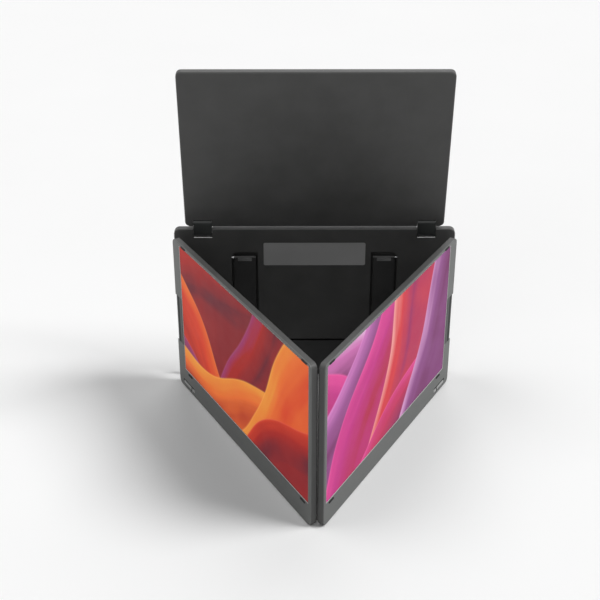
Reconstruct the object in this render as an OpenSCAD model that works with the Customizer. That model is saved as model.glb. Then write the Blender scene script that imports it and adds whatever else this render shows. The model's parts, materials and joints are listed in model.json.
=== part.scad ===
// Laptop screen extender: a free-standing frame that carries a left, a right and a top display
// on double-pin hinge links. Units are millimetres. +Z is up, and the laptop stands on the +Y side.
// At rest the side displays are folded back behind the frame until their free ends meet.

/* [Displays] */
// Width of the lit area of each display
display_w = 344.2; // [300:0.1:360]
// Height of the lit area of each display
display_h = 193.6; // [170:0.1:210]
// Plain border of a side display beside its hinge
border_hinge = 21.6; // [20:0.1:30]
// Plain border of a side display at its free end
border_free = 6.2; // [5:0.1:12]
// Plain border above a display
border_top = 4.2; // [4:0.1:10]
// Plain border below a display
chin_h = 33.2; // [30:0.1:45]
// Plain border at each side of the top display
border_side = 3.9; // [3.8:0.1:12]

/* [Screen housings] */
// Thickness of a screen housing
screen_t = 9.2; // [8.8:0.1:12]
// Radius of a housing's corners
screen_r = 7; // [4:0.5:9]
// Bevel round the back of a housing
back_bevel = 1.3; // [0.6:0.1:1.5]
// Thickness of the front bezel
bezel_t = 1.2; // [1:0.1:1.6]
// Bevel round the front of the bezel
bezel_bevel = 0.5; // [0.2:0.1:0.8]
// Thickness of the housing's walls and back
housing_wall = 1.6; // [1.2:0.1:2]
// Thickness of the display glass
glass_t = 1; // [0.7:0.1:1]
// How far the glass lies below the bezel's face
glass_drop = 0.3; // [0:0.1:0.5]
// Thickness of the display module behind the glass
module_t = 3; // [2:0.1:3.4]
// How far the module reaches past the lit area
module_margin = 2.2; // [1:0.1:2.2]
// Number of ribs behind each display module
rib_count = 5; // [2:1:8]

/* [Frame] */
// Width of the frame
frame_w = 384; // [360:1:410]
// Height of the frame above its feet
frame_h = 232.6; // [215:0.1:255]
// Thickness of the frame
frame_t = 10; // [9:0.1:13]
// Radius of the frame's corners
frame_r = 8; // [4:0.5:12]
// Thickness of the frame's front cover
cover_t = 1.4; // [1.2:0.1:1.8]
// Thickness of the frame's rear skin
skin_t = 1.6; // [1.2:0.1:2]
// Bevel round the rear of the frame
frame_bevel = 1; // [0.4:0.1:1.5]
// Height of the rubber feet that carry everything
foot_h = 1.2; // [0.8:0.1:3]
// Width of the plain info plate on the frame's rear
plate_w = 140; // [100:1:150]
// Height of the info plate
plate_h = 34.5; // [20:0.5:36]
// Top of the info plate below the frame's top edge
plate_drop = 19; // [16:0.5:30]

/* [Hinge links] */
// Outer radius of a link's round ends
link_r = 5.2; // [4.8:0.1:5.6]
// Distance between the two pins of a side link
side_link = 26.2; // [22:0.1:30]
// Height of a side link
side_link_h = 72; // [50:1:90]
// Height of the side links' middle above the housings' lower edge
side_link_z = 108; // [90:1:140]
// Inset of the side link's pin from the frame's side edge
frame_pin_inset = 6.6; // [6:0.1:10]
// Inset of the side link's pin from the screen's hinge edge
screen_pin_inset = 6.3; // [6:0.1:8]
// Distance between the two pins of a top link
top_link = 15.2; // [14:0.1:18]
// Width of a top link
top_link_w = 24.7; // [18:0.1:36]
// Distance of each top link's middle from the centre line
top_link_x = 152.5; // [130:0.5:154]
// Inset of the top links' pins from the edges they join
top_pin_inset = 4.7; // [4.4:0.1:6]
// Radius of the hinge pins
pin_r = 1.6; // [1.2:0.1:1.8]
// Radial clearance of a hinge pin in a link or leaf
pin_clear = 0.04; // [0.02:0.01:0.08]
// Gap between a link and the notch round it
notch_gap = 0.5; // [0.4:0.1:0.8]
// Lean of the top screen away from the user, in degrees
top_lean = 7.8; // [0:0.1:20]
// Gap between the free ends of the side screens
apex_gap = 0.4; // [0.3:0.1:2]

/* [Kickstand] */
// Width across the kickstand
stand_w = 222; // [180:1:240]
// Width of one leg
leg_w = 29.8; // [20:0.1:36]
// Thickness of the kickstand
stand_t = 5.8; // [4.4:0.1:6]
// Distance of the kickstand's pivot below the frame's upper edge
stand_pivot_drop = 42.6; // [40.6:0.1:80]
// Height of the wide foot bar's upper edge above the frame's lower edge
stand_bar_top = 57; // [30:1:90]
// Gap between the kickstand and the recess round it
stand_gap = 3.3; // [1.5:0.1:4]
// Gap above the legs' round tops
stand_head_gap = 6.5; // [3:0.1:9]
// Radius of the kickstand's corners
stand_r = 6; // [3:0.5:9]
// Radius of the kickstand's pivot pins
stand_pin_r = 1.2; // [0.8:0.1:1.6]

/* [Lid clamps] */
// Distance of the lid clamps' middle below the frame's upper edge
clamp_drop = 50.6; // [42.6:0.1:60]
// Height of a clamp jaw
clamp_h = 22; // [12:1:24]
// Thickness of the laptop lid that a clamp takes
lid_gap = 8; // [5:0.1:9]
// Travel of each clamp towards the middle
clamp_travel = 30; // [10:1:30]
// Reach of the clamp's lip over the lid
lip_reach = 5.6; // [3:0.1:5.6]
// Thickness of the clamp's hook
hook_t = 2.4; // [1.6:0.1:2.6]

/* [Hidden] */
$fn = 48;

// colours
gunmetal = [0.24, 0.25, 0.25];
graphite = [0.14, 0.14, 0.14];
soft_black = [0.05, 0.05, 0.05];
steel = [0.62, 0.63, 0.65];
plate_grey = [0.42, 0.42, 0.43];
circuit_green = [0.05, 0.22, 0.12];
screen_dark = [0.09, 0.09, 0.11];

fine = 0.1;                 // running gap between flat faces that move past each other
cut = 1;                    // how far a cutting shape runs past the face it opens

// housings
side_w = border_hinge + display_w + border_free;
top_w = display_w + 2 * border_side;
screen_h = border_top + display_h + chin_h;
window_margin = 0.9;
module_y = glass_drop + glass_t;            // front of the display module
skin_y = screen_t - housing_wall;           // inner face of a housing's back

inner_r = screen_r - housing_wall;          // a housing's inner corners
module_m = min(module_margin, border_side - housing_wall - fine, border_top - housing_wall - fine);
tray_wall = 1.8;

// hinge geometry
side_notch_h = side_link_h + 2 * notch_gap;
top_notch_w = top_link_w + 2 * notch_gap;
notch_end = link_r + notch_gap;             // the notch's end past the pin
ear_t = 3;
ear_r = min(2.9, top_pin_inset - tray_wall - 0.3);
leaf_l = 24;                                // plates of the side and the top hinges' leaves
top_leaf_l = 12;
pin_reach = housing_wall + ear_t;           // how far a pin runs past each end of its notch
hinge_x = frame_w / 2 - frame_pin_inset;
pin_to_end = side_w - screen_pin_inset;
// angle of the side screens to the frame at which their free ends meet
side_angle = atan2(screen_t / 2, pin_to_end)
    + acos((hinge_x - apex_gap / 2) / norm([pin_to_end, screen_t / 2]));
frame_top = foot_h + frame_h;
frame_top_pin_z = frame_top - top_pin_inset;
screen_top_pin_z = frame_top_pin_z + top_link;

// frame
rear_y = -frame_t / 2;
front_y = frame_t / 2;
cover_y = front_y - cover_t;
rear_in = rear_y + 0.2;                     // where parts rooted in the rear skin begin
plate_sink = 0.5;
plate_r = 2.4;
foot_strip_l = 300;
front_pad_l = 40;
front_pad_r = 4;

// screws of the front cover, in X and Z
screw_inset = 9;
screw_drop = 34;                            // upper screws below the frame's top edge
screw_mid_drop = 17.6;
screw_mid_x = 60;
screw_low_x = 134;
screw_r = 1.25;
screw_l = 6;
head_r = 2.4;
post_r = 3.2;
screw_low = foot_h + screw_inset;
screw_spots = [
    for (s = [-1, 1]) [s * (frame_w / 2 - screw_inset), screw_low],
    for (s = [-1, 1]) [s * (frame_w / 2 - screw_inset), frame_top - screw_drop],
    for (s = [-1, 1]) [s * screw_mid_x, frame_top - screw_mid_drop],
    for (s = [-1, 1]) [s * screw_low_x, screw_low]
];

// kickstand
stand_low = foot_h + tray_wall + stand_gap;
pivot_z = frame_top - stand_pivot_drop;
bar_top = foot_h + stand_bar_top;
stand_y = rear_y + 0.3;                     // rear face of the kickstand
pivot_y = stand_y + stand_t / 2;
recess_y = stand_y + stand_t + 0.3;         // floor of the recess
head_over = stand_t / 2 + stand_head_gap;   // the recess reaches this far above the pivot
recess_top = pivot_z + head_over;
tub_wall = 1.6;
stand_pin_in = stand_w / 2 - 9;
stand_pin_out = stand_w / 2 + stand_gap + 4;

// driver board, sockets, pads and feet, in a screen's own frame
board_x = 60;                               // clear of the far edge
board_w = 150;
board_z = [4, 28];
board_t = 1.2;
board_y = skin_y - 1.2;
post_inset = 8;                             // posts from the board's ends
post_z = [9, 23];
field_pitch = (display_w - 40) / 3;
rib_inset = 13;                             // outer ribs from the lit area's edges
rib_w = 1.4;
bumper_l = 12;
bumper_r = 1.3;
bumper_proud = 0.8;
foot_l = 34;
foot_r = 1.8;
foot_in = [56, 34];                         // feet from the hinge edge and from the free end
socket_z = [13, 25];
socket_depth = 5.4;
socket_l = 9;
socket_r = 1.6;
socket_wall = 0.3;

// buttons, in a screen's own frame
button_z = 4.8;
button_h = 5.8;
rocker_w = 23;
power_w = 8;
button_gap = 3;
button_face = 0.25;                         // faces of the buttons below the bezel's face
pocket_gap = 0.5;
pocket_over = 2.4;                          // open strip above the buttons
pocket_floor = 3.2;
rocker_pivot_y = 3.5;
rocker_pin_r = 0.9;
rocker_rib = 1.2;                           // rib between the rocker's cap and its pivot
stem_r = 1.2;                               // the power button's stem
cap_t = 1.9;
side_button_x = 13.6;
top_button_x = top_w / 2 - top_link_x + top_notch_w / 2 + 12;

// clamps
pad_t = 1.2;
tongue_t = 2.4;
tongue_l = 36;
tongue_h = 24;
clamp_mid = frame_top - clamp_drop;
hook_in = frame_w / 2 - 9.4;                // inner face of the clamp pad at rest
hook_out = hook_in + pad_t + hook_t;
pad_proud = 1.5;                            // front pads stand proud of the cover
lip_y = front_y + pad_proud + lid_gap + pad_t;

// ---------- shared shapes ----------

// rectangle with round corners, lower left corner at the origin
module round_rect(w, h, r) {
    translate([r, 0]) square([w - 2 * r, h]);
    translate([0, r]) square([w, h - 2 * r]);
    for (x = [r, w - r], y = [r, h - r]) translate([x, y]) circle(r);
}

// a flat outline drawn in X and Z, as a plate from y0 to y1
module upright(y0, y1) {
    translate([0, y1, 0]) rotate([90, 0, 0]) linear_extrude(y1 - y0) children();
}

// round-cornered plate from y0 to y1 whose face at y_face has a bevel
module bevelled_plate(w, h, r, y0, y1, bevel, y_face) {
    y_full0 = y_face == y0 ? y0 + bevel : y0;
    y_full1 = y_face == y1 ? y1 - bevel : y1;
    hull() {
        upright(y_full0, y_full1) round_rect(w, h, r, $fn = 32);
        translate([bevel, 0, bevel])
            upright(y0, y1) round_rect(w - 2 * bevel, h - 2 * bevel, r - bevel, $fn = 32);
    }
}

// outline of a bar with round ends, along X
module stadium(length, r) {
    translate([-length / 2 + r, -r]) square([length - 2 * r, 2 * r]);
    for (s = [-1, 1]) translate([s * (length / 2 - r), 0]) circle(r);
}

// outline of a link, from its first pin at the origin to its second pin on +X
module link_outline(length, r) {
    translate([0, -r]) square([length, 2 * r]);
    circle(r);
    translate([length, 0]) circle(r);
}

module box(low, high) {
    translate(low) cube(high - low);
}

// ---------- hinge parts, with the pin along Z and its middle at the origin ----------

module hinge_pin(span) {
    color(steel) translate([0, 0, -span / 2 - pin_reach]) cylinder(r = pin_r, h = span + 2 * pin_reach);
}

// steel leaf that holds both ends of a pin: x_in is where the notch ends, y_plate its plate's face
module hinge_leaf(span, x_in, y_plate, plate_l) {
    ear_z = span / 2 + housing_wall;
    x_plate = x_in + housing_wall + 0.2;
    color(steel) difference() {
        union() {
            for (s = [-1, 1]) {
                z0 = s > 0 ? ear_z : -ear_z - ear_t;
                translate([0, 0, z0]) cylinder(r = ear_r, h = ear_t);
                box([0, -ear_r, z0], [x_plate + 3, ear_r, z0 + ear_t]);
            }
            box([x_plate, y_plate - 1.6, -ear_z - ear_t], [x_plate + plate_l, y_plate, ear_z + ear_t]);
        }
        translate([0, 0, -ear_z - ear_t - cut])
            cylinder(r = pin_r + pin_clear, h = 2 * (ear_z + ear_t + cut));
        for (z = [-0.3, 0.3])
            translate([x_plate + plate_l - 4, y_plate + cut, z * span])
                rotate([90, 0, 0]) cylinder(r = 1.3, h = 4);
    }
}

// what the notch, its pin bores and its ends take out of a housing
module hinge_cut(span, x_edge, depth, t) {
    box([x_edge - cut, -t, -span / 2], [depth, t, span / 2]);
    translate([0, 0, -span / 2 - pin_reach]) cylinder(r = pin_r + pin_clear, h = span + 2 * pin_reach);
}

// the cast arm inside a link, with a bore for each pin
module link_arm(length, height) {
    color(steel) difference() {
        translate([0, 0, -height / 2 + 3]) linear_extrude(height - 6) link_outline(length, link_r - 1.1);
        for (x = [0, length])
            translate([x, 0, -height]) cylinder(r = pin_r + pin_clear, h = 2 * height);
        translate([length / 2, 0, 0]) rotate([90, 0, 0])
            linear_extrude(4 * link_r, center = true)
                square([max(length - 4 * pin_r - 6, 2), height * 0.5], center = true);
    }
}

// the moulded sleeve round a link's arm, closed by a cap at its far end
module link_cover(length, height) {
    color(graphite) difference() {
        union() {
            difference() {
                translate([0, 0, -height / 2]) linear_extrude(height) link_outline(length, link_r);
                translate([0, 0, -height / 2 - cut]) linear_extrude(height - 2 + cut)
                    link_outline(length, link_r - 1);
            }
            translate([0, 0, -height / 2 + 0.6]) linear_extrude(2) link_outline(length, link_r - 1);
        }
        for (x = [0, length])
            translate([x, 0, -height]) cylinder(r = pin_r + 0.3, h = 2 * height);
    }
}

// ---------- screens, with the display facing -Y and the lower left corner at the origin ----------

// a screen's notches: side screens have one in the left edge, the top screen two in the lower edge
module at_side_hinge() {
    translate([screen_pin_inset, screen_t / 2, side_link_z]) children();
}

module at_top_hinges() {
    for (s = [-1, 1])
        translate([top_w / 2 + s * top_link_x, screen_t / 2, top_pin_inset])
            rotate([0, -90, 0]) children();
}

module side_notch_cut() {
    at_side_hinge() hinge_cut(side_notch_h, -screen_pin_inset, notch_end, screen_t);
}

module top_notch_cut() {
    at_top_hinges() hinge_cut(top_notch_w, -top_pin_inset, notch_end, screen_t);
}

module side_notch_wall() {
    at_side_hinge() box([-screen_pin_inset, bezel_t - screen_t / 2, -side_notch_h / 2 - housing_wall],
        [notch_end + housing_wall, screen_t / 2 - housing_wall, side_notch_h / 2 + housing_wall]);
}

module top_notch_wall() {
    at_top_hinges() box([-top_pin_inset, bezel_t - screen_t / 2, -top_notch_w / 2 - housing_wall],
        [notch_end + housing_wall, screen_t / 2 - housing_wall, top_notch_w / 2 + housing_wall]);
}

// lower left corner of the lit area
function lit_x(w) = w == side_w ? border_hinge : border_side;

// moulded back of a screen: children 0 is the notch walls, children 1 what is cut away
module back_cover(w, button_x) {
    inner_w = w - 2 * housing_wall;
    rocker_x = button_x + rocker_w / 2;
    power_x = button_x + rocker_w + button_gap + power_w / 2;
    color(graphite) difference() {
        union() {
            difference() {
                bevelled_plate(w, screen_h, screen_r, bezel_t, screen_t, back_bevel, screen_t);
                translate([housing_wall, 0, housing_wall]) upright(bezel_t - cut, skin_y)
                    round_rect(inner_w, screen_h - 2 * housing_wall, inner_r);
            }
            // ribs that carry the display module
            for (i = [0 : rib_count - 1]) {
                rib_z = chin_h + rib_inset + i * (display_h - 2 * rib_inset) / (rib_count - 1);
                box([lit_x(w) + 22, module_y + module_t, rib_z - rib_w / 2],
                    [w - border_side - 6, skin_y + 0.2, rib_z + rib_w / 2]);
            }
            // block that carries the buttons
            box([button_x - 2, pocket_floor, housing_wall - 0.2],
                [power_x + power_w / 2 + 2, skin_y + 0.2, button_z + button_h + pocket_over + 1.6]);
            // posts that carry the driver board
            for (x = board_posts(w), z = post_z)
                translate([x, skin_y + 0.2, z]) rotate([90, 0, 0])
                    cylinder(r = 2.2, h = skin_y + 0.2 - board_y);
            children(0);
        }
        children(1);
        socket_holes();
        translate([rocker_x - 1.6, pocket_floor - cut, button_z - 0.1])
            cube([3.2, rocker_pivot_y + 1.5 - pocket_floor + cut, button_h + 0.2]);
        translate([power_x, pocket_floor + 2.4, button_z + button_h / 2]) rotate([90, 0, 0])
            cylinder(r = stem_r + 0.08, h = 2.4 + cut);
    }
}

function board_posts(w) = [w - board_x - board_w + post_inset, w - board_x - post_inset];

// front bezel: children 0 is what is cut away for the hinges
module bezel(w, button_x) {
    pocket_w = rocker_w + button_gap + power_w + 2 * pocket_gap;
    color(gunmetal) difference() {
        bevelled_plate(w, screen_h, screen_r, 0, bezel_t, bezel_bevel, 0);
        translate([lit_x(w) - window_margin, 0, chin_h - window_margin]) upright(-cut, bezel_t + cut)
            round_rect(display_w + 2 * window_margin, display_h + 2 * window_margin, 1);
        translate([button_x - pocket_gap, 0, button_z - pocket_gap]) upright(-cut, bezel_t + cut)
            round_rect(pocket_w, button_h + pocket_gap + pocket_over, 1.2);
        children(0);
    }
}

module display_glass(w) {
    inset = window_margin - 0.15;
    color(screen_dark) translate([lit_x(w) - inset, 0, chin_h - inset])
        upright(glass_drop, glass_drop + glass_t)
            round_rect(display_w + 2 * inset, display_h + 2 * inset, 0.8);
}

// backlight, film stack and metal tray of the display, with its folded earth tabs
module display_module(w) {
    m = module_m;
    color(steel) difference() {
        translate([lit_x(w) - m, 0, chin_h - m]) upright(module_y, module_y + module_t)
            round_rect(display_w + 2 * m, display_h + 2 * m, inner_r);
        // shallow embossed fields in the metal tray
        for (i = [0 : 2]) {
            x0 = lit_x(w) + 26 + i * field_pitch;
            box([x0, module_y + module_t - 0.5, chin_h + 20],
                [x0 + field_pitch - 12, module_y + module_t + cut, chin_h + 28]);
        }
    }
}

// driver board with its chips and the plug of the display's ribbon
module driver_board(w) {
    x0 = w - board_x - board_w;
    face_y = board_y - board_t;
    color(circuit_green) {
        difference() {
            box([x0, face_y, board_z[0]], [x0 + board_w, board_y, board_z[1]]);
            for (x = board_posts(w), z = post_z)
                translate([x, board_y + cut, z]) rotate([90, 0, 0]) cylinder(r = 1.1, h = board_t + 2 * cut);
        }
        board_chip(x0 + 24, 9, 14, 14, 1.6, face_y);
        board_chip(x0 + 52, 8, 8, 8, 1.2, face_y);
        board_chip(x0 + 72, 21, 32, 5, 2, face_y);
        for (i = [0 : 5]) board_chip(x0 + 112 + i * 4.5, 8, 2.5, 4, 0.8, face_y);
    }
}

// a chip or plug of w by h that stands t off the board's face
module board_chip(x, z, w, h, t, face_y) {
    box([x, face_y - t, z], [x + w, face_y, z + h]);
}

// two-way rocker on its pivot rib, its upper edge bevelled
module rocker(button_x) {
    x0 = button_x;
    xm = x0 + rocker_w / 2;
    color(gunmetal) {
        key_cap(x0, rocker_w);
        translate([xm, rocker_pivot_y, button_z + 0.4]) cylinder(r = rocker_pin_r, h = button_h - 0.8);
        box([xm - rocker_rib / 2, button_face + 1.2, button_z + 0.4],
            [xm + rocker_rib / 2, rocker_pivot_y, button_z + button_h - 0.4]);
    }
}

module power_button(button_x) {
    x0 = button_x + rocker_w + button_gap;
    color(gunmetal) {
        key_cap(x0, power_w);
        translate([x0 + power_w / 2, pocket_floor + 1.5, button_z + button_h / 2]) rotate([90, 0, 0])
            cylinder(r = stem_r, h = pocket_floor + 1.5 - button_face - 1);
    }
}

// a button's cap: a bar whose face slopes back towards its upper edge
module key_cap(x0, w) {
    z0 = button_z;
    translate([x0, 0, 0]) rotate([90, 0, 90]) linear_extrude(w)
        polygon([
            [button_face, z0 + 0.5], [button_face + 0.5, z0], [button_face + cap_t, z0],
            [button_face + cap_t, z0 + button_h], [button_face + cap_t - 0.6, z0 + button_h],
            [button_face, z0 + button_h - 2.4]
        ]);
}

// soft pads that keep a folded screen off its neighbour
module bumpers(w) {
    x0 = lit_x(w);
    color(soft_black)
        for (p = [[x0 + 12, screen_h - border_top / 2], [x0 + display_w - 9, screen_h - border_top / 2],
                  [x0 + 16, chin_h - 4.5], [x0 + display_w - 12, chin_h - 4.5]])
            translate([p[0], 0, p[1]]) upright(-bumper_proud, 0) stadium(bumper_l, bumper_r);
}

module screen_feet(w) {
    color(soft_black)
        for (x = [foot_in[0], w - foot_in[1]])
            translate([x, screen_t / 2 + 0.4, -foot_h]) linear_extrude(foot_h) stadium(foot_l, foot_r);
}

// two socket openings in the left edge, and the sockets behind them
module socket_holes() {
    for (z = socket_z)
        translate([-cut, screen_t / 2, z]) rotate([90, 0, 90])
            linear_extrude(housing_wall + 2 * cut) rotate(90) stadium(socket_l + 0.2, socket_r + 0.1);
}

module sockets() {
    color(steel)
        for (z = socket_z) translate([0.3, screen_t / 2, z]) rotate([90, 0, 90]) {
            difference() {
                linear_extrude(socket_depth) rotate(90) stadium(socket_l, socket_r);
                translate([0, 0, -cut]) linear_extrude(socket_depth - 2 * socket_wall + cut) rotate(90)
                    stadium(socket_l - 2 * socket_wall, socket_r - socket_wall);
            }
            // the socket's tongue
            translate([-0.35, -3.2, 1]) cube([0.7, 6.4, socket_depth - 1.2]);
        }
}

module side_leaf() {
    at_side_hinge() hinge_leaf(side_notch_h, notch_end, screen_t / 2 - housing_wall, leaf_l);
}

module top_screen_leaves() {
    at_top_hinges() hinge_leaf(top_notch_w, notch_end, screen_t / 2 - housing_wall, top_leaf_l);
}

// ---------- placing ----------

module left_side() {
    translate([-hinge_x, -side_link, foot_h]) rotate([0, 0, -side_angle])
        translate([-screen_pin_inset, -screen_t / 2, 0]) children();
}

module right_side() {
    mirror([1, 0, 0]) left_side() children();
}

module top_side() {
    translate([0, 0, screen_top_pin_z]) rotate([top_lean, 0, 0])
        translate([top_w / 2, screen_t / 2, -top_pin_inset]) rotate([0, 0, 180]) children();
}

// the side hinges' place in the frame, with the leaf running inwards along +X
module at_frame_sides() {
    for (s = [0, 1]) mirror([s, 0, 0])
        translate([-hinge_x, 0, foot_h + side_link_z]) children();
}

// the top hinges' place in the frame, with the leaf running down along +X
module at_frame_tops() {
    for (s = [-1, 1])
        translate([s * top_link_x, 0, frame_top_pin_z]) rotate([0, 90, 0]) children();
}

// a side link points straight back at rest, and a top link straight up
module left_link() {
    translate([-hinge_x, 0, foot_h + side_link_z]) rotate([0, 0, -90]) children();
}

module right_link() {
    mirror([1, 0, 0]) left_link() children();
}

module top_links() {
    for (s = [-1, 1])
        translate([s * top_link_x, 0, frame_top_pin_z]) rotate([0, -90, 0]) children();
}

// ---------- frame ----------

// the kickstand's outline, grown all round by gap and at its heads by head
module stand_outline(gap, head) {
    half = stand_w / 2 + gap;
    top = pivot_z + head;
    low = stand_low - gap;
    r = stand_r + gap;
    difference() {
        translate([-half, low]) round_rect(2 * half, top - low, r);
        translate([-(stand_w / 2 - leg_w - gap), bar_top + gap])
            round_rect(2 * (stand_w / 2 - leg_w - gap), top - bar_top + 2 * r, max(stand_r - gap, 1));
    }
}

module clamp_slot(grow) {
    z = clamp_h / 2 + grow;
    for (s = [0, 1]) mirror([s, 0, 0])
        box([hook_in - clamp_travel - grow, cover_y - cut, clamp_mid - z],
            [hook_out + grow, front_y + cut, clamp_mid + z]);
}

module frame_tray() {
    color(graphite) difference() {
        union() {
            difference() {
                translate([-frame_w / 2, 0, foot_h])
                    bevelled_plate(frame_w, frame_h, frame_r, rear_y, cover_y, frame_bevel, rear_y);
                translate([-frame_w / 2 + tray_wall, 0, foot_h + tray_wall])
                    upright(rear_y + skin_t, cover_y + cut)
                        round_rect(frame_w - 2 * tray_wall, frame_h - 2 * tray_wall, frame_r - tray_wall);
            }
            // tub round the kickstand's recess
            intersection() {
                upright(rear_in, recess_y + tub_wall)
                    stand_outline(stand_gap + tub_wall, head_over + tub_wall);
                box([-frame_w, -frame_t, foot_h], [frame_w, frame_t, frame_top]);
            }
            // bosses that hold the kickstand's pins
            for (s = [0, 1]) mirror([s, 0, 0])
                box([stand_w / 2 + stand_gap, rear_in, pivot_z - 5],
                    [stand_pin_out + 1.2, recess_y + tub_wall, pivot_z + 5]);
            // walls round the hinge notches
            at_frame_sides() box([-frame_pin_inset, rear_in, -side_notch_h / 2 - housing_wall],
                [notch_end + housing_wall, cover_y, side_notch_h / 2 + housing_wall]);
            at_frame_tops() box([-top_pin_inset, rear_in, -top_notch_w / 2 - housing_wall],
                [notch_end + housing_wall, cover_y, top_notch_w / 2 + housing_wall]);
            // raised beds and side ribs that guide the clamps' tongues
            for (s = [0, 1]) mirror([s, 0, 0]) {
                box([hook_out - tongue_l - clamp_travel - 1, rear_in, clamp_mid - tongue_h / 2 - 1.8],
                    [frame_w / 2 - tray_wall, cover_y - tongue_t - 2 * fine, clamp_mid + tongue_h / 2 + 1.8]);
                for (z = [-1, 1])
                    translate([0, 0, clamp_mid + z * (tongue_h / 2 + 1)])
                        box([hook_out - tongue_l - clamp_travel - 1, rear_in, -0.8],
                            [frame_w / 2 - tray_wall, cover_y, 0.8]);
            }
            // screw posts and stiffening ribs
            for (p = screw_spots)
                translate([p[0], cover_y, p[1]]) rotate([90, 0, 0])
                    cylinder(r = post_r, h = cover_y - rear_in);
            for (x = [-66, -33, 0, 33, 66])
                box([x - rib_w / 2, rear_in, bar_top + stand_gap],
                    [x + rib_w / 2, cover_y - 0.4, recess_top - 12]);
            for (share = [0.4, 0.7]) {
                rib_z = bar_top + share * (pivot_z - bar_top);
                box([-stand_w / 2 + leg_w + stand_gap, rear_in, rib_z],
                    [stand_w / 2 - leg_w - stand_gap, cover_y - 0.4, rib_z + rib_w]);
            }
        }
        upright(rear_y - cut, recess_y) stand_outline(stand_gap, head_over);
        at_frame_sides() hinge_cut(side_notch_h, -frame_pin_inset, notch_end, frame_t);
        at_frame_tops() hinge_cut(top_notch_w, -top_pin_inset, notch_end, frame_t);
        for (p = screw_spots)
            translate([p[0], cover_y + cut, p[1]]) rotate([90, 0, 0])
                cylinder(r = screw_r, h = screw_l + cut);
        // sockets for the kickstand's pins
        for (s = [0, 1]) mirror([s, 0, 0])
            translate([stand_pin_in, pivot_y, pivot_z]) rotate([0, 90, 0])
                cylinder(r = stand_pin_r + 0.02, h = stand_pin_out - stand_pin_in);
        // shallow seat of the info plate
        translate([-plate_w / 2 - 0.15, 0, frame_top - plate_drop - plate_h - 0.15])
            upright(rear_y - cut, rear_y + plate_sink)
                round_rect(plate_w + 0.3, plate_h + 0.3, plate_r + 0.15);
    }
}

module frame_cover() {
    color(graphite) difference() {
        translate([-frame_w / 2, 0, foot_h])
            bevelled_plate(frame_w, frame_h, frame_r, cover_y, front_y, 0.6, front_y);
        at_frame_sides() hinge_cut(side_notch_h, -frame_pin_inset, notch_end, frame_t);
        at_frame_tops() hinge_cut(top_notch_w, -top_pin_inset, notch_end, frame_t);
        clamp_slot(0.4);
        for (p = screw_spots) translate([p[0], front_y + cut, p[1]]) rotate([90, 0, 0]) {
            cylinder(r = head_r + 0.1, h = cut + 0.8);
            cylinder(r = screw_r + 0.15, h = cut + cover_t + cut);
        }
    }
}

module frame_screws() {
    color(steel)
        for (p = screw_spots) translate([p[0], front_y - 0.1, p[1]]) rotate([90, 0, 0]) {
            cylinder(r = head_r, h = 0.7);
            cylinder(r = screw_r - 0.05, h = screw_l);
        }
}

module info_plate() {
    color(plate_grey) translate([-plate_w / 2, 0, frame_top - plate_drop - plate_h])
        upright(rear_y - 0.1, rear_y + plate_sink) round_rect(plate_w, plate_h, plate_r);
}

module frame_foot() {
    color(soft_black) linear_extrude(foot_h) stadium(foot_strip_l, 3);
}

// soft pads on which the laptop's lid rests
module front_pads() {
    color(soft_black)
        for (x = [-1, 1], z = [0.16, 0.9])
            translate([x * frame_w * 0.3, 0, foot_h + z * frame_h])
                upright(front_y, front_y + pad_proud) stadium(front_pad_l, front_pad_r);
}

module stand_pins() {
    color(steel) for (s = [0, 1]) mirror([s, 0, 0])
        translate([stand_pin_in, pivot_y, pivot_z]) rotate([0, 90, 0])
            cylinder(r = stand_pin_r, h = stand_pin_out - stand_pin_in);
}

// ---------- kickstand ----------

module kickstand() {
    half_t = stand_t / 2;
    color(graphite) difference() {
        union() {
            intersection() {
                upright(stand_y, stand_y + stand_t) stand_outline(0, 0);
                box([-stand_w, -frame_t, stand_low], [stand_w, frame_t, pivot_z]);
            }
            // round heads of the legs, about the pivot
            for (s = [0, 1]) mirror([s, 0, 0])
                translate([stand_w / 2 - leg_w, pivot_y, pivot_z]) rotate([0, 90, 0])
                    cylinder(r = half_t, h = leg_w);
        }
        for (s = [0, 1]) mirror([s, 0, 0]) {
            translate([stand_pin_in - 0.3, pivot_y, pivot_z]) rotate([0, 90, 0])
                cylinder(r = stand_pin_r + 0.05, h = 20);
            // sloped grip below each head
            translate([stand_w / 2 - leg_w / 2, stand_y, pivot_z - 2.2]) rotate([90, 0, 90])
                linear_extrude(20, center = true) polygon([[-cut, 1.4], [1.9, 0], [-cut, -3]]);
        }
        // thumb scoop in the foot bar, and the strip that seats the rubber foot
        translate([0, stand_y - 19, stand_low + 9]) cylinder(r = 20.2, h = 12);
        box([-stand_w / 2 + 14, stand_y + 1.2, stand_low - cut],
            [stand_w / 2 - 14, stand_y + stand_t - 1.2, stand_low + 1]);
    }
}

module kickstand_foot() {
    color(soft_black) box([-stand_w / 2 + 14.1, stand_y + 1.3, stand_low - 0.8],
        [stand_w / 2 - 14.1, stand_y + stand_t - 1.3, stand_low + 1]);
}

// ---------- lid clamps ----------

module right_clamp_parts() {
    z = clamp_h / 2;
    corner = hook_t / 2;
    color(graphite) {
        box([hook_out - tongue_l, cover_y - fine - tongue_t, clamp_mid - tongue_h / 2 + fine],
            [hook_out, cover_y - fine, clamp_mid + tongue_h / 2 - fine]);
        translate([0, 0, clamp_mid - z]) linear_extrude(clamp_h) {
            translate([hook_out - hook_t, cover_y - tongue_t])
                square([hook_t, lip_y + corner - cover_y + tongue_t]);
            translate([hook_in - lip_reach, lip_y]) square([lip_reach + pad_t + hook_t - corner, hook_t]);
            translate([hook_out - corner, lip_y + corner]) circle(corner);
        }
    }
}

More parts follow.
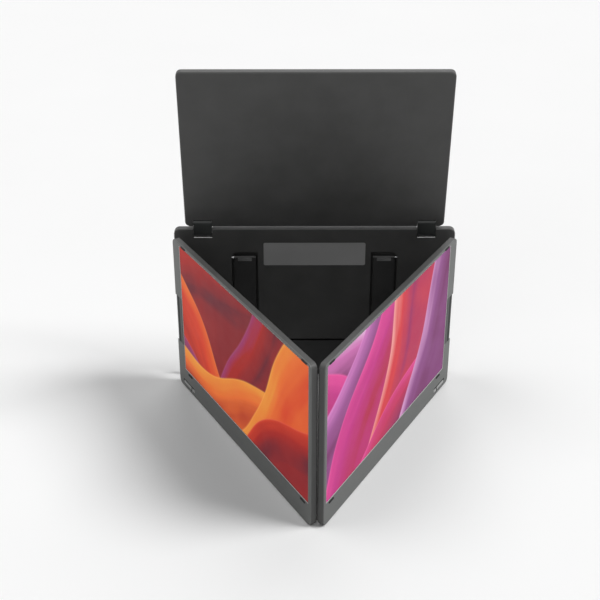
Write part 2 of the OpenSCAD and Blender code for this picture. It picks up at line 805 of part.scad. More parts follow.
module right_clamp_pad_parts() {
    z = clamp_h / 2 - 0.8;
    color(soft_black) translate([0, 0, clamp_mid - z]) linear_extrude(2 * z) {
        translate([hook_in, front_y + 0.4]) square([pad_t, lip_y - front_y - 0.4]);
        translate([hook_in - lip_reach + 0.4, lip_y - pad_t]) square([lip_reach + pad_t - 0.4, pad_t]);
    }
}

// ---------- build ----------

module frame_side_leaves() {
    at_frame_sides() hinge_leaf(side_notch_h, notch_end, cover_y, leaf_l);
}

module frame_side_pins() {
    at_frame_sides() hinge_pin(side_notch_h);
}

module frame_top_leaves() {
    at_frame_tops() hinge_leaf(top_notch_w, notch_end, cover_y, top_leaf_l);
}

module frame_top_pins() {
    at_frame_tops() hinge_pin(top_notch_w);
}

frame_tray();
frame_cover();
info_plate();
frame_foot();
front_pads();
frame_screws();
frame_side_leaves();
frame_side_pins();
frame_top_leaves();
frame_top_pins();
stand_pins();
left_link() link_arm(side_link, side_link_h);  // left_link_arm
left_link() link_cover(side_link, side_link_h);  // left_link_cover
right_link() link_arm(side_link, side_link_h);  // right_link_arm
right_link() link_cover(side_link, side_link_h);  // right_link_cover
top_links() link_arm(top_link, top_link_w);  // top_link_arms
top_links() link_cover(top_link, top_link_w);  // top_link_covers
kickstand();
kickstand_foot();
right_clamp_parts();  // right_clamp
right_clamp_pad_parts();  // right_clamp_pad
mirror([1, 0, 0]) right_clamp_parts();  // left_clamp
mirror([1, 0, 0]) right_clamp_pad_parts();  // left_clamp_pad

left_side() back_cover(side_w, side_button_x) {  // left_back_cover
    side_notch_wall();
    side_notch_cut();
}
left_side() bezel(side_w, side_button_x) side_notch_cut();  // left_bezel
left_side() display_glass(side_w);  // left_glass
left_side() display_module(side_w);  // left_display_module
left_side() driver_board(side_w);  // left_driver_board
left_side() rocker(side_button_x);  // left_rocker
left_side() power_button(side_button_x);  // left_power_button
left_side() bumpers(side_w);  // left_bumpers
left_side() screen_feet(side_w);  // left_feet
left_side() side_leaf();  // left_leaf
left_side() at_side_hinge() hinge_pin(side_notch_h);  // left_pin
left_side() sockets();  // left_sockets

right_side() back_cover(side_w, side_button_x) {  // right_back_cover
    side_notch_wall();
    side_notch_cut();
}
right_side() bezel(side_w, side_button_x) side_notch_cut();  // right_bezel
right_side() display_glass(side_w);  // right_glass
right_side() display_module(side_w);  // right_display_module
right_side() driver_board(side_w);  // right_driver_board
right_side() rocker(side_button_x);  // right_rocker
right_side() power_button(side_button_x);  // right_power_button
right_side() bumpers(side_w);  // right_bumpers
right_side() screen_feet(side_w);  // right_feet
right_side() side_leaf();  // right_leaf
right_side() at_side_hinge() hinge_pin(side_notch_h);  // right_pin
right_side() sockets();  // right_sockets

top_side() back_cover(top_w, top_button_x) {  // top_back_cover
    top_notch_wall();
    top_notch_cut();
}
top_side() bezel(top_w, top_button_x) top_notch_cut();  // top_bezel
top_side() display_glass(top_w);  // top_glass
top_side() display_module(top_w);  // top_display_module
top_side() driver_board(top_w);  // top_driver_board
top_side() rocker(top_button_x);  // top_rocker
top_side() power_button(top_button_x);  // top_power_button
top_side() bumpers(top_w);  // top_bumpers
top_side() top_screen_leaves();  // top_leaves
top_side() at_top_hinges() hinge_pin(top_notch_w);  // top_pins
top_side() sockets();  // top_sockets
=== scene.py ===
import json
import math

import bmesh
import bpy
from mathutils import Matrix, Vector


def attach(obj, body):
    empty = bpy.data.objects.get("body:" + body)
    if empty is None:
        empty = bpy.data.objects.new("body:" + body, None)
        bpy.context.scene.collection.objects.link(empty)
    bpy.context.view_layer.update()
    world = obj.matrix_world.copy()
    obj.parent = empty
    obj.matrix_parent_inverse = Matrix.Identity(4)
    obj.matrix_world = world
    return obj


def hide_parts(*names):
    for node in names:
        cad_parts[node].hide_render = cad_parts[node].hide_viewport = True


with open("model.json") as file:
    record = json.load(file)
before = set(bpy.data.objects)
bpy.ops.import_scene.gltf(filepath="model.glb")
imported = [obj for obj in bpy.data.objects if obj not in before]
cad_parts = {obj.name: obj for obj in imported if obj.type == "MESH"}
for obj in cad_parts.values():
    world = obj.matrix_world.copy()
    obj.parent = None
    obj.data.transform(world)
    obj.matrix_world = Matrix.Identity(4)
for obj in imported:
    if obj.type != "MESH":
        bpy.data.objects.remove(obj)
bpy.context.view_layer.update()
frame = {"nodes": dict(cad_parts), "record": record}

nodes = frame["nodes"]

# ---------------------------------------------------------------- sizes, in metres, as in the part's source

HINGE_X, SIDE_LINK, FOOT = 0.1854, 0.0262, 0.0012
SCREEN_T, SCREEN_H, SIDE_W, TOP_W = 0.0092, 0.231, 0.372, 0.352
LIT_W, LIT_H, CHIN = 0.3442, 0.1936, 0.0332
SIDE_LIT_X, TOP_LIT_X = 0.0216, 0.0039
SIDE_ANGLE, TOP_LEAN = 60.29726, 7.8
SCREEN_PIN_INSET, TOP_PIN_INSET = 0.0063, 0.0047
TOP_PIN_Z = 0.2443
FRAME_W, FRAME_TOP, FRAME_R = 0.384, 0.2338, 0.008
RAIL_RISE = 0.002                  # the slim rail along the frame's upper edge stands this much over it
TOP_LINK_X, TOP_NOTCH_W, NOTCH_END = 0.1525, 0.0257, 0.0057
SIDE_LINK_Z, SIDE_NOTCH_H, BACK_BEVEL, SCREEN_R = 0.108, 0.073, 0.0013, 0.007
WINDOW_MARGIN, GLASS_INSET, GLASS_DROP, GLASS_T = 0.0009, 0.00075, 0.0003, 0.001
PIVOT_Z, GRIP_X, GRIP_HALF_W, STAND_Y = 0.1912, 0.0961, 0.0098, -0.0047
SIDE_BUTTON_X, TOP_BUTTON_GAP, SLOT_LENGTH, SLOT_Z = 0.0136, 0.012, 0.0342, (0.0107, 0.0128)
HINGE_CAP_END = 0.0193


def shift(x, y, z):
    return Matrix.Translation(Vector((x, y, z)))


def turn(degrees, axis):
    return Matrix.Rotation(math.radians(degrees), 4, axis)


# each screen's own frame: x along its width, z up it, and the display at y = 0 facing -y
LEFT = (shift(-HINGE_X, -SIDE_LINK, FOOT) @ turn(-SIDE_ANGLE, "Z")
        @ shift(-SCREEN_PIN_INSET, -SCREEN_T / 2, 0))
RIGHT = Matrix.Scale(-1, 4, Vector((1, 0, 0))) @ LEFT
TOP = (shift(0, 0, TOP_PIN_Z) @ turn(TOP_LEAN, "X")
       @ shift(TOP_W / 2, SCREEN_T / 2, -TOP_PIN_INSET) @ turn(180, "Z"))
SCREENS = {"left": (LEFT, SIDE_W, SIDE_LIT_X), "right": (RIGHT, SIDE_W, SIDE_LIT_X),
           "top": (TOP, TOP_W, TOP_LIT_X)}
MIRRORED = (("left", -1), ("right", 1))
IN_PLACE = Matrix.Identity(4)
SHY = 0.00002                      # how far added pieces keep inside the faces they lie on

# ---------------------------------------------------------------- materials


class Nodes:
    """A material's node tree, with short calls for the nodes that the materials below share."""

    def __init__(self, name):
        self.mat = bpy.data.materials.new(name)
        self.mat.use_nodes = True
        self.tree = self.mat.node_tree
        self.shader = self.tree.nodes["Principled BSDF"]
        self.mat.cycles.emission_sampling = "NONE"

    def add(self, kind, **inputs):
        n = self.tree.nodes.new(kind)
        for key, value in inputs.items():
            self.put(n.inputs[key.replace("_", " ")], value)
        return n

    def put(self, socket, value):
        if isinstance(value, bpy.types.NodeSocket):
            self.tree.links.new(value, socket)
        else:
            socket.default_value = value

    def math(self, operation, a, b=0.0):
        n = self.tree.nodes.new("ShaderNodeMath")
        n.operation = operation
        self.put(n.inputs[0], a)
        self.put(n.inputs[1], b)
        return n.outputs[0]

    def coords(self, scale=(1, 1, 1)):
        place = self.tree.nodes.new("ShaderNodeTexCoord").outputs["Object"]
        if scale == (1, 1, 1):
            return place
        n = self.tree.nodes.new("ShaderNodeMapping")
        self.put(n.inputs["Vector"], place)
        n.inputs["Scale"].default_value = scale
        return n.outputs["Vector"]

    def noise(self, scale, detail=2.0, rough=0.5, stretch=(1, 1, 1)):
        n = self.add("ShaderNodeTexNoise", Vector=self.coords(stretch), Scale=scale, Detail=detail,
                     Roughness=rough)
        return n.outputs["Fac"]

    def ramp(self, value, stops, smooth=False):
        n = self.tree.nodes.new("ShaderNodeValToRGB")
        r = n.color_ramp
        r.interpolation = "EASE" if smooth else "LINEAR"
        while len(r.elements) < len(stops):
            r.elements.new(0.5)
        for e, (place, colour) in zip(r.elements, stops):
            e.position = place
            e.color = (*colour, 1)
        self.put(n.inputs["Fac"], value)
        return n.outputs["Color"]

    def span(self, value, low, high, from_low=0.0, from_high=1.0, kind="LINEAR"):
        n = self.tree.nodes.new("ShaderNodeMapRange")
        n.interpolation_type = kind
        self.put(n.inputs["Value"], value)
        n.inputs["From Min"].default_value, n.inputs["From Max"].default_value = from_low, from_high
        n.inputs["To Min"].default_value, n.inputs["To Max"].default_value = low, high
        return n.outputs["Result"]

    def mix(self, share, a, b):
        n = self.tree.nodes.new("ShaderNodeMix")
        n.data_type = "RGBA"
        self.put(n.inputs[0], share)
        self.put(n.inputs[6], a if isinstance(a, bpy.types.NodeSocket) else (*a, 1))
        self.put(n.inputs[7], b if isinstance(b, bpy.types.NodeSocket) else (*b, 1))
        return n.outputs[2]

    def bump(self, height, strength, distance):
        n = self.add("ShaderNodeBump", Height=height, Strength=strength, Distance=distance)
        self.put(self.shader.inputs["Normal"], n.outputs["Normal"])

    def set(self, **inputs):
        for key, value in inputs.items():
            self.put(self.shader.inputs[key.replace("_", " ")], value)
        return self.mat


def scaled(colour, factor):
    """A colour times a factor, no lighter than white."""
    return [min(1, c * factor) for c in colour]


def moulded(name, colour, rough, specular=0.5):
    """Moulded plastic: a fine spark-eroded grain, faint mottling and a roughness that wanders."""
    m = Nodes(name)
    cloud = m.noise(26, 3, 0.55)
    speck = m.noise(2600, 2, 0.6)
    base = m.ramp(cloud, [(0.3, scaled(colour, 0.88)), (0.7, scaled(colour, 1.12))])
    base = m.mix(m.span(speck, 0.0, 0.22, 0.45, 0.75), base, [c * 1.7 + 0.004 for c in colour])
    m.bump(speck, 0.35, 0.00004)
    return m.set(Base_Color=base, Roughness=m.span(cloud, rough - 0.05, rough + 0.06, 0.3, 0.7),
                 Specular_IOR_Level=specular)


def painted(name, colour, rough):
    """Satin lacquer on metal or plastic, with the faint orange peel and flake that such lacquer has."""
    m = Nodes(name)
    cloud = m.noise(14, 3, 0.5)
    flake = m.noise(4200, 1, 0.5)
    base = m.ramp(cloud, [(0.32, scaled(colour, 0.93)), (0.68, scaled(colour, 1.06))])
    base = m.mix(m.span(flake, 0.0, 0.3, 0.52, 0.72), base, [min(1, c * 1.35 + 0.01) for c in colour])
    m.bump(m.noise(900, 2, 0.5), 0.18, 0.00003)
    return m.set(Base_Color=base, Roughness=m.span(cloud, rough - 0.04, rough + 0.05, 0.3, 0.7),
                 Specular_IOR_Level=0.5)


def rubber(name, colour=(0.016, 0.016, 0.016)):
    """Soft rubber, matt, with a little dust in its pores."""
    m = Nodes(name)
    dust = m.noise(420, 4, 0.65)
    base = m.ramp(dust, [(0.4, colour), (0.8, [c + 0.022 for c in colour])])
    m.bump(dust, 0.3, 0.00005)
    return m.set(Base_Color=base, Roughness=m.span(dust, 0.72, 0.9, 0.3, 0.7), Specular_IOR_Level=0.3)


def steel(name, colour=(0.47, 0.47, 0.48), rough=0.3, stretch=(1, 1, 24)):
    """Plain steel with fine lines across the stretched axis."""
    m = Nodes(name)
    lines = m.noise(300, 3, 0.6, stretch)
    base = m.ramp(lines, [(0.3, scaled(colour, 0.82)), (0.7, scaled(colour, 1.1))])
    m.bump(lines, 0.15, 0.00002)
    return m.set(Base_Color=base, Roughness=m.span(lines, rough - 0.08, rough + 0.1, 0.3, 0.7), Metallic=1.0)


def board(name):
    """Green solder mask with a pattern of tracks."""
    m = Nodes(name)
    tracks = m.add("ShaderNodeTexBrick", Vector=m.coords((1, 0.2, 1)), Scale=160.0, Mortar_Size=0.12,
                   Color1=(0.01, 0.075, 0.035, 1), Color2=(0.012, 0.09, 0.042, 1),
                   Mortar=(0.02, 0.16, 0.07, 1))
    m.bump(m.noise(700, 2), 0.2, 0.00003)
    return m.set(Base_Color=tracks.outputs["Color"], Roughness=m.span(m.noise(90), 0.3, 0.45, 0.3, 0.7))


SHELL = moulded("frame_shell", (0.057, 0.057, 0.056), 0.52, specular=0.4)
BACK = moulded("screen_shell", (0.06, 0.06, 0.059), 0.5, specular=0.4)
COVER = moulded("hinge_cover", (0.019, 0.021, 0.0205), 0.42)
STAND = moulded("stand_shell", (0.034, 0.034, 0.034), 0.45, specular=0.4)
CLAMP = moulded("clamp_shell", (0.022, 0.022, 0.022), 0.5)
BEZEL = painted("bezel", (0.112, 0.116, 0.113), 0.46)
# painted highlight: the buttons are pale grey, far lighter than the bezel, for their faces catching the
# light
BUTTON = painted("buttons", (0.34, 0.345, 0.34), 0.38)
PLATE = painted("info_plate", (0.35, 0.35, 0.35), 0.5)
# painted light: the grip pads are far lighter than the stand, for the upward-facing slope below the head
# that catches the light
GRIP = moulded("stand_grip_painted_light", (0.16, 0.16, 0.16), 0.5)
# painted shade: near-black material for the sheets set in the button slots, standing in for the shade inside
# them
SHADE = moulded("slot_painted_shade", (0.008, 0.008, 0.008), 0.7, specular=0.2)
# painted highlight: pale paint for the ring round each display window, standing in for the glint on the
# window's edge
RIM = painted("window_glint_ring", (0.62, 0.63, 0.61), 0.35)
RUBBER = rubber("rubber")
STEEL = steel("steel")
# painted highlight: pale metal for the strips at the foot of the frame's upper notches, standing in for
# their glint
PALE_STEEL = steel("notch_glint_strip", (0.8, 0.8, 0.8), 0.4, (24, 1, 1))
POLISHED = steel("polished_pins", (0.85, 0.85, 0.86), 0.16)
MODULE = painted("display_module", (0.02, 0.02, 0.022), 0.5)     # dark, as an unlit display's film is
BOARD = board("circuit_board")


LIT_RATIO = 0.56                   # height of the lit area over its width


def flowing(name, ground, layers):
    """A made-up abstract picture: broad overlapping folds, each shaded from its bright edge into its depth
    and combed by fine streaks that run along it. x and z are shares of the lit area.
    A layer is (angle, offset, swing, waves, phase, depth, edge, middle, deep)."""
    m = Nodes(name)
    place = m.coords()
    split = m.add("ShaderNodeSeparateXYZ", Vector=place)
    x = m.math("DIVIDE", split.outputs["X"], LIT_W)
    z = m.math("DIVIDE", split.outputs["Z"], LIT_H)
    broad = m.add("ShaderNodeTexNoise", Vector=place, Scale=6.0, Detail=1.0).outputs["Fac"]
    wander = m.math("SUBTRACT", broad, 0.5)
    cloud = m.add("ShaderNodeTexNoise", Vector=place, Scale=11.0, Detail=2.0).outputs["Fac"]
    colour = m.ramp(m.math("ADD", m.math("MULTIPLY", z, 0.8), m.math("MULTIPLY", wander, 0.6)), ground, True)
    for i, (angle, offset, swing, waves, phase, depth, edge, middle, deep) in enumerate(layers):
        c, s = math.cos(math.radians(angle)), math.sin(math.radians(angle))
        along = m.math("ADD", m.math("MULTIPLY", x, c), m.math("MULTIPLY", z, s * LIT_RATIO))
        across = m.math("ADD", m.math("MULTIPLY", x, -s), m.math("MULTIPLY", z, c * LIT_RATIO))
        wave = m.math("SINE", m.math("ADD", m.math("MULTIPLY", along, waves), phase))
        line = m.math("ADD", m.math("MULTIPLY", wave, swing), m.math("MULTIPLY", wander, swing * 2.2))
        inside = m.math("SUBTRACT", m.math("ADD", line, offset), across)
        mask = m.span(inside, 0, 1, -0.002, 0.002, "SMOOTHSTEP")
        fold = m.add("ShaderNodeCombineXYZ", X=m.math("MULTIPLY", along, 2.2),
                     Y=m.math("MULTIPLY", inside, 17.0), Z=3.7 * i)
        streak = m.add("ShaderNodeTexNoise", Vector=fold.outputs[0], Scale=1.0, Detail=2.5).outputs["Fac"]
        comb = m.math("MULTIPLY", m.math("SUBTRACT", streak, 0.5), 0.55)
        share = m.math("ADD", m.math("DIVIDE", inside, depth), comb)
        far = [0.6 * d + 0.4 * e for d, e in zip(deep, middle)]
        body = m.ramp(share, [(0, edge), (0.32, middle), (0.78, deep), (1, far)])
        body = m.mix(m.span(cloud, 0, 0.5, 0.4, 0.7), body, middle)
        colour = m.mix(mask, colour, body)
        # a thin light rim along the fold's edge
        rim = m.span(m.math("ABSOLUTE", inside), 0.4, 0, 0, 0.006)
        colour = m.mix(rim, colour, [min(1, e * 1.15 + 0.04) for e in edge])
    # unlit outside the lit area
    inset_x = m.math("MINIMUM", x, m.math("SUBTRACT", 1.0, x))
    inset_z = m.math("MINIMUM", z, m.math("SUBTRACT", 1.0, z))
    lit = m.math("MULTIPLY", m.math("GREATER_THAN", inset_x, 0.0), m.math("GREATER_THAN", inset_z, 0.0))
    colour = m.mix(lit, (0.004, 0.004, 0.005), colour)
    base = m.mix(0.3, (0, 0, 0), colour)
    return m.set(Base_Color=base, Emission_Color=colour, Emission_Strength=0.8,
                 Roughness=m.span(m.noise(40, 2), 0.42, 0.5, 0.3, 0.7), Specular_IOR_Level=0.06)


RED, SCARLET = (0.36, 0.024, 0.02), (0.62, 0.055, 0.024)
ORANGE, AMBER = (0.74, 0.15, 0.034), (0.78, 0.31, 0.05)
MAROON, PLUM = (0.13, 0.02, 0.03), (0.16, 0.032, 0.11)
VIOLET, LILAC = (0.2, 0.045, 0.26), (0.45, 0.21, 0.58)
MAGENTA, PINK = (0.5, 0.04, 0.22), (0.7, 0.075, 0.3)
BLUSH, NIGHT = (0.78, 0.55, 0.76), (0.04, 0.038, 0.05)

WARM = flowing("picture_warm", [(0.0, RED), (0.5, MAROON), (1.0, SCARLET)], [
    (24, 0.5, 0.06, 6.0, 0.4, 0.26, SCARLET, RED, MAROON),
    (-44, 0.3, 0.05, 5.0, 1.9, 0.22, ORANGE, SCARLET, RED),
    (-36, 0.13, 0.04, 7.0, 0.7, 0.16, (0.34, 0.05, 0.14), PLUM, MAROON),
    (-50, 0.02, 0.045, 6.0, 2.4, 0.24, ORANGE, SCARLET, RED),
    (66, -0.28, 0.04, 6.0, 0.2, 0.2, (0.3, 0.04, 0.13), RED, MAROON),
    (8, 0.13, 0.05, 6.5, 3.3, 0.2, AMBER, ORANGE, RED),
    (-20, -0.18, 0.045, 7.0, 0.9, 0.2, ORANGE, SCARLET, RED),
    (52, -0.36, 0.05, 6.0, 2.1, 0.24, AMBER, ORANGE, SCARLET),
    (34, -0.3, 0.035, 8.0, 2.6, 0.16, SCARLET, RED, MAROON),
])
COOL = flowing("picture_cool", [(0.0, PLUM), (0.45, MAGENTA), (1.0, (0.7, 0.07, 0.05))], [
    (-28, 0.6, 0.05, 6.0, 0.8, 0.2, BLUSH, (0.55, 0.15, 0.4), PLUM),
    (-40, 0.36, 0.06, 5.0, 2.6, 0.26, PINK, MAGENTA, (0.3, 0.02, 0.08)),
    (38, 0.3, 0.05, 5.5, 2.2, 0.2, (0.6, 0.2, 0.5), (0.34, 0.1, 0.3), PLUM),
    (58, 0.0, 0.05, 6.0, 0.5, 0.24, PINK, MAGENTA, (0.42, 0.03, 0.07)),
    (70, -0.3, 0.035, 7.0, 1.8, 0.2, (0.8, 0.32, 0.3), (0.62, 0.05, 0.06), (0.3, 0.03, 0.12)),
    (-62, -0.1, 0.04, 6.5, 3.0, 0.2, LILAC, VIOLET, PLUM),
    (14, -0.03, 0.045, 6.0, 4.2, 0.2, PINK, (0.5, 0.035, 0.1), PLUM),
    (64, -0.55, 0.03, 8.0, 0.4, 0.2, (0.62, 0.3, 0.55), (0.26, 0.08, 0.24), PLUM),
    (-22, -0.44, 0.04, 7.0, 1.3, 0.2, (0.3, 0.1, 0.3), NIGHT, NIGHT),
])
DEEP = flowing("picture_deep", [(0.0, (0.05, 0.03, 0.2)), (0.5, VIOLET), (1.0, MAGENTA)], [
    (22, 0.42, 0.06, 6.0, 0.2, 0.3, PINK, VIOLET, PLUM),
    (-34, 0.2, 0.05, 6.0, 1.4, 0.26, ORANGE, MAGENTA, PLUM),
    (48, -0.06, 0.045, 7.0, 2.9, 0.24, LILAC, VIOLET, (0.05, 0.02, 0.2)),
    (-14, -0.08, 0.045, 6.0, 4.0, 0.2, BLUSH, PINK, MAGENTA),
    (30, -0.26, 0.04, 7.0, 1.0, 0.2, SCARLET, MAGENTA, NIGHT),
])

FINISH = {"frame_shell": SHELL, "screen_shell": BACK, "bezel": BEZEL, "hinge_cover": COVER,
          "stand_shell": STAND, "clamp_shell": CLAMP, "buttons": BUTTON, "display_glass": BACK,
          "display_module": MODULE, "circuit_board": BOARD, "info_plate": PLATE, "rubber": RUBBER,
          "steel": STEEL}
for part in frame["record"]["subparts"]:
    finish = POLISHED if part["node"] == "stand_pins" else FINISH[part["material_slot"]]
    for s in nodes[part["node"]].material_slots:
        s.material = finish

# fine rounding of moulded edges, so that they catch the light
for name in ("frame_tray", "frame_cover", "kickstand", "left_clamp", "right_clamp", "left_link_cover",
             "right_link_cover", "top_link_covers", "left_back_cover", "right_back_cover", "top_back_cover",
             "left_bezel", "right_bezel", "top_bezel", "info_plate"):
    soft = nodes[name].modifiers.new("edge", "BEVEL")
    soft.width, soft.segments, soft.limit_method = 0.00025, 2, "ANGLE"
    soft.angle_limit = math.radians(40)

# ---------------------------------------------------------------- pieces made here


def outline(x0, z0, x1, z1, r, steps=6):
    """Points of a rectangle with round corners, anticlockwise in x and z."""
    pts = []
    corners = (x1 - r, z0 + r, -90), (x1 - r, z1 - r, 0), (x0 + r, z1 - r, 90), (x0 + r, z0 + r, 180)
    for cx, cz, start in corners:
        for i in range(steps + 1):
            a = math.radians(start + 90 * i / steps)
            pts.append((cx + r * math.cos(a), cz + r * math.sin(a)))
    return pts


def finish_piece(bm, name, place, material, body, smooth=30):
    """Turns a bmesh into a piece that rides on a body."""
    bmesh.ops.recalc_face_normals(bm, faces=bm.faces)
    me = bpy.data.meshes.new(name)
    bm.to_mesh(me)
    bm.free()
    o = bpy.data.objects.new(name, me)
    bpy.context.scene.collection.objects.link(o)
    o.matrix_world = place
    me.materials.append(material)
    for p in me.polygons:
        p.use_smooth = True
    me.set_sharp_from_angle(angle=math.radians(smooth))
    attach(o, body)
    return o


def lofted(rings, closed=False):
    """A mesh through rings of points, capped at its two ends, or closed from the last ring to the first."""
    bm = bmesh.new()
    rows = [[bm.verts.new(p) for p in ring] for ring in rings]
    for a, b in zip(rows, rows[1:] + (rows[:1] if closed else [])):
        for i in range(len(a)):
            j = (i + 1) % len(a)
            bm.faces.new((a[i], a[j], b[j], b[i]))
    if not closed:
        bm.faces.new(rows[0])
        bm.faces.new(list(reversed(rows[-1])))
    return bm


def plate_rings(x0, z0, x1, z1, r, steps):
    """Rings of a plate with round corners, one for each (y, trim), drawn in by trim."""
    return [[(x, y, z) for x, z in outline(x0 + trim, z0 + trim, x1 - trim, z1 - trim, r)]
            for y, trim in steps]


def unmirrored(place, width):
    """The right screen's frame as a plain turn, with x running from its free end to its hinge."""
    return place @ shift(width, 0, 0) @ Matrix.Scale(-1, 4, Vector((1, 0, 0)))


def display(name, place, lit_x, picture, body, node):
    """The display's face: a thin glass plate with a fine bevel, its origin at the lit area's corner.
    Diffuse and glossy rays pass it, so that it doesn't tint the floor."""
    at = place @ shift(lit_x, 0, CHIN)
    rings = []
    for y, trim in ((GLASS_DROP + GLASS_T, 0), (GLASS_DROP + 0.0002, 0), (GLASS_DROP, 0.0002)):
        m = GLASS_INSET - trim
        rings.append([(x, y, z) for x, z in outline(-m, -m, LIT_W + m, LIT_H + m, 0.0008 - trim / 2)])
    o = finish_piece(lofted(rings), name, at, picture, body)
    o.visible_diffuse = False
    o.visible_glossy = False
    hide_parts(node)


def window_glint_ring(name, place, lit_x, body):
    """A thin pale ring with a chamfer round the display's window, inside the bezel's opening: painted
    highlight, standing in for the glint on the window's edge.
    """
    at = place @ shift(lit_x, 0, CHIN)
    rings = []
    for y, out in ((0.00029, 0.0001), (0.00002, 0.0001), (-0.00001, -0.00016), (0.00029, -0.0005)):
        m = WINDOW_MARGIN + out
        rings.append([(x, y, z) for x, z in outline(-m, -m, LIT_W + m, LIT_H + m, 0.001)])
    finish_piece(lofted(rings, closed=True), name, at, RIM, body)


PICTURES = {"left": WARM, "right": COOL, "top": DEEP}
for side, (place, width, lit_x) in SCREENS.items():
    at, x0 = place, lit_x
    if side == "right":
        at, x0 = unmirrored(place, width), width - lit_x - LIT_W
    display(side + "_display", at, x0, PICTURES[side], side + "_screen", side + "_glass")
    window_glint_ring(side + "_window_glint_ring", at, x0, side + "_screen")


# seal along each side screen's free end: it fills the bevel of the back, so that the two ends meet
for side in ("left", "right"):
    place, width, _ = SCREENS[side]
    far, rear, b, tuck = width - SHY, SCREEN_T - SHY, BACK_BEVEL, 0.0003
    profile = [(far - b - tuck, rear), (far - 0.0001, rear), (far, rear - 0.0001), (far, rear - b - tuck),
               (far - b * 0.7, rear - b * 0.7)]
    rings = [[(x, y, z) for x, y in profile] for z in (SCREEN_R, 0.02, SCREEN_H / 2, SCREEN_H - SCREEN_R)]
    finish_piece(lofted(rings), side + "_edge_seal", place, RUBBER, side + "_screen")

# dark cover over the side hinge's leaf, a thin plate on the bezel beside the notch
for side in ("left", "right"):
    x0, z0 = SCREEN_PIN_INSET + NOTCH_END + 0.0001, SIDE_LINK_Z - SIDE_NOTCH_H / 2
    rings = plate_rings(x0, z0, HINGE_CAP_END, z0 + SIDE_NOTCH_H, 0.0009,
                        ((0.0002, 0), (-0.00012, 0), (-0.00022, 0.0001)))
    finish_piece(lofted(rings), side + "_hinge_cap", SCREENS[side][0], COVER, side + "_screen")

# ribbed grip pad on each leg of the kickstand, below its round head, far lighter than the stand: painted
# light for the upward-facing slope there
for side, s in MIRRORED:
    bm = bmesh.new()
    wide, low, high, waves = GRIP_HALF_W, PIVOT_Z - 0.0046, PIVOT_Z + 0.0008, 4
    rows = []
    for i in range(4 * waves + 1):
        t = i / (4 * waves)
        z = low + (high - low) * t
        y = STAND_Y - 0.00012 - 0.0001 * math.sin(2 * math.pi * waves * t)
        across = (-wide, STAND_Y + 0.0002), (-wide + 0.0004, y), (wide - 0.0004, y), (wide, STAND_Y + 0.0002)
        rows.append([bm.verts.new((s * GRIP_X + x, at_y, z)) for x, at_y in across])
    for p0, p1 in zip(rows, rows[1:]):
        for i in range(3):
            bm.faces.new((p0[i], p0[i + 1], p1[i + 1], p1[i]))
    finish_piece(bm, side + "_stand_grip_painted_light", IN_PLACE, GRIP, "kickstand", 70)

# painted shade: a near-black sheet in the open strip of each button slot, where the slot's shade falls
for side, (place, width, _) in SCREENS.items():
    notch_edge = width / 2 - TOP_LINK_X + TOP_NOTCH_W / 2
    bx = notch_edge + TOP_BUTTON_GAP if side == "top" else SIDE_BUTTON_X
    rings = plate_rings(bx - 0.0003, SLOT_Z[0], bx + SLOT_LENGTH, SLOT_Z[1], 0.0006,
                        ((0.0015, 0), (0.0003, 0), (0.0002, 0.0001)))
    finish_piece(lofted(rings), side + "_slot_painted_shade", place, SHADE, side + "_screen")


def rail(name, outer, inner):
    """A strip of the slim rail, from outer points (x, z, nx, nz) to inner points (x, z), with the frame's
    bevels at its rear and front."""
    rings = []
    for y, trim in ((-0.00498, 0.001), (-0.00398, 0), (0.00438, 0), (0.00498, 0.0006)):
        ring = [(x - nx * trim, y, z - nz * trim) for x, z, nx, nz in outer]
        rings.append(ring + [(x, y, z) for x, z in reversed(inner)])
    finish_piece(lofted(rings), name, IN_PLACE, SHELL, "frame")


# slim rail along the frame's upper edge, with the frame's corners, and open where the top links stand
rail_top, low = FRAME_TOP + RAIL_RISE, FRAME_TOP - 0.0012
gap_in, gap_out = TOP_LINK_X - TOP_NOTCH_W / 2, TOP_LINK_X + TOP_NOTCH_W / 2
span = [-gap_in + i * 2 * gap_in / 8 for i in range(9)]
rail("top_rail_middle", [(x, rail_top, 0, 1) for x in span], [(x, low) for x in span])
for side, s in MIRRORED:
    cx, r = FRAME_W / 2 - FRAME_R, FRAME_R - SHY
    outer = [(s * gap_out, rail_top, 0, 1)]
    inner = [(s * gap_out, low)]
    for i in range(11):
        a = math.radians(90 - 9 * i)
        nx, nz = math.cos(a), math.sin(a)
        outer.append((s * (cx + r * nx), rail_top - FRAME_R + r * nz, s * nx, nz))
        q = r - 0.0012 - 0.0012 * i / 10
        inner.append((s * (cx + q * nx), FRAME_TOP - FRAME_R + q * nz))
    rail("top_rail_" + side, outer, inner)

# painted highlight: pale metal strips at the foot of the frame's upper notches, for the glint where the
# notch's floor catches the light
for side, s in MIRRORED:
    z0 = FRAME_TOP - TOP_PIN_INSET - NOTCH_END
    x0, x1 = sorted((s * (gap_in + 0.0004), s * (gap_out - 0.0004)))
    profile = [(-0.00505, z0 - 0.0008), (-0.0051, z0 - 0.0001), (-0.00495, z0 + 0.00008),
               (-0.0042, z0 + 0.00008), (-0.0042, z0 - 0.0008)]
    rings = [[(x, y, z) for y, z in profile] for x in (x0, 0.5 * (x0 + x1), x1)]
    finish_piece(lofted(rings), side + "_notch_edge", IN_PLACE, PALE_STEEL, "frame")

# ---------------------------------------------------------------- floor, light and camera


def floor_material():
    """Pale plain paper, quite matt."""
    m = Nodes("floor")
    mottle = m.ramp(m.noise(3, 2), [(0.3, (0.925, 0.925, 0.925)), (0.7, (0.935, 0.935, 0.935))])
    return m.set(Base_Color=mottle, Roughness=1.0, Specular_IOR_Level=0.0)


FLOOR_REACH = 12.0
bm = bmesh.new()
corners = (-1, -1), (1, -1), (1, 1), (-1, 1)
bm.faces.new([bm.verts.new((x * FLOOR_REACH, y * FLOOR_REACH, 0)) for x, y in corners])
me = bpy.data.meshes.new("floor")
bm.to_mesh(me)
bm.free()
floor = bpy.data.objects.new("floor", me)
bpy.context.scene.collection.objects.link(floor)
me.materials.append(floor_material())


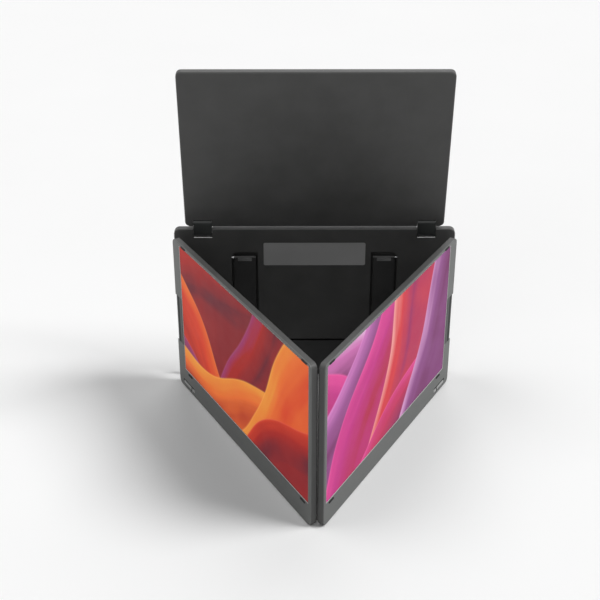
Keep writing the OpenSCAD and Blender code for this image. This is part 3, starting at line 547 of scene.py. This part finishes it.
def sun(name, azimuth, elevation, strength, spread):
    """A large soft light, far off in a direction given in degrees: azimuth 0 is +X, and 90 is +Y."""
    data = bpy.data.lights.new(name, "SUN")
    data.energy, data.angle = strength, math.radians(spread)
    o = bpy.data.objects.new(name, data)
    a, e = math.radians(azimuth), math.radians(elevation)
    towards = Vector((math.cos(a) * math.cos(e), math.sin(a) * math.cos(e), math.sin(e)))
    o.location = towards * 3
    o.rotation_mode = "QUATERNION"
    o.rotation_quaternion = towards.to_track_quat("Z", "Y")
    bpy.context.scene.collection.objects.link(o)


sun("key_right", -5, 50, 2.24, 28)
sun("fill_left", 172, 60, 0.72, 34)
sun("fill_back", 80, 50, 0.68, 34)
sun("fill_front", -118, 34, 0.4, 50)

# the room gives little light, and is white where the camera, metal or glass looks at it
ROOM_LIGHT = 0.045
world = bpy.data.worlds.new("room")
bpy.context.scene.world = world
world.use_nodes = True
wt = world.node_tree
background = wt.nodes["Background"]
background.inputs["Color"].default_value = (1, 1, 1, 1)
ray = wt.nodes.new("ShaderNodeLightPath").outputs
either = ray["Is Camera Ray"]
for way in ("Is Glossy Ray", "Is Transmission Ray"):
    joined = wt.nodes.new("ShaderNodeMath")
    joined.operation = "MAXIMUM"
    wt.links.new(either, joined.inputs[0])
    wt.links.new(ray[way], joined.inputs[1])
    either = joined.outputs[0]
level = wt.nodes.new("ShaderNodeMapRange")
level.inputs["To Min"].default_value, level.inputs["To Max"].default_value = ROOM_LIGHT, 1.0
wt.links.new(either, level.inputs["Value"])
wt.links.new(level.outputs["Result"], background.inputs["Strength"])

# the camera as fitted to the photograph: focal length in widths of the picture, place and tilt
FOCAL, SENSOR, TILT, PAN = 1212.8 / 600, 36, -29.4437, -0.1132
cam_data = bpy.data.cameras.new("camera")
cam_data.sensor_width = SENSOR
cam_data.lens = FOCAL * SENSOR
cam_data.clip_start, cam_data.clip_end = 0.01, 100
camera = bpy.data.objects.new("camera", cam_data)
camera.location = (-0.02284, -1.49101, 0.96373)
camera.rotation_euler = (math.radians(90 + TILT), 0, math.radians(PAN))
bpy.context.scene.collection.objects.link(camera)
bpy.context.scene.camera = camera
bpy.context.scene.view_settings.view_transform = "Standard"

bpy.context.view_layer.update()
